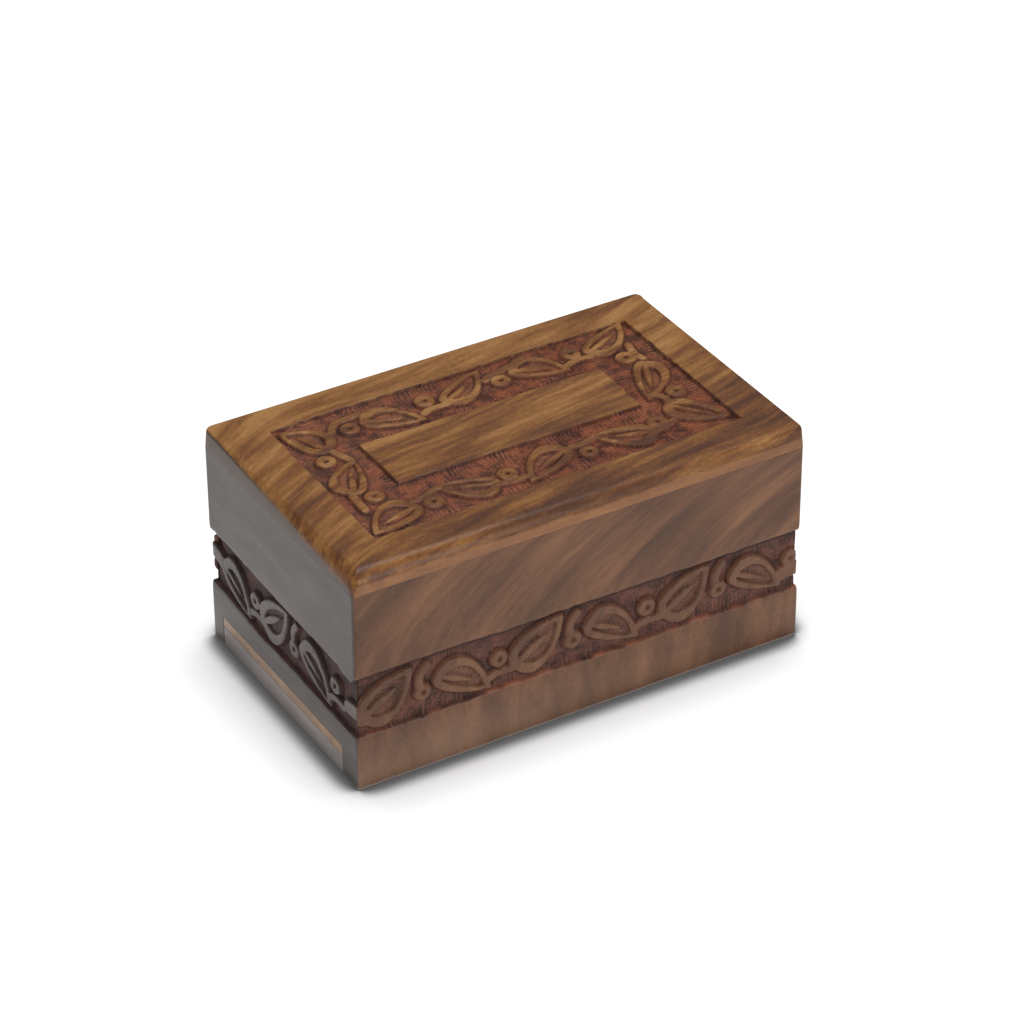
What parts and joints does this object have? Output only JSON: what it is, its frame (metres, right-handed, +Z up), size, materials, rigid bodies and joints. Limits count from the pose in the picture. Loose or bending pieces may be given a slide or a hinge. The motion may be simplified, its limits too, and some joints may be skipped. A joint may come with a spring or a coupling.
{
  "type": "carved wooden keepsake box",
  "caption": "Rectangular hardwood box with a carved leaf and berry vine round its top and walls, and a bottom board that slides out through one end.",
  "frame": {"origin": "on the floor, under the middle of the box", "axes": "+X along the length, away from the end where the slide comes out; +Y towards the back; +Z up"},
  "size_m": [0.127, 0.0762, 0.0625],
  "materials": {
    "top_wood": "satin varnish, golden brown with dark streaks",
    "wall_wood": "satin varnish, mid brown with dark streaks",
    "slide_wood": "pale and unvarnished"
  },
  "bodies": {
    "box": {"top_panel": "top_wood", "front_wall": "wall_wood", "right_wall": "wall_wood", "back_wall": "wall_wood", "left_wall": "wall_wood"},
    "slide": {"slide_board": "slide_wood", "slide_end_block": "wall_wood"}
  },
  "joints": [
    {"name": "bottom_slide", "type": "slide", "parent": "box", "child": "slide", "axis": [-1, 0, 0], "range_m": [0, 0.118]}
  ]
}
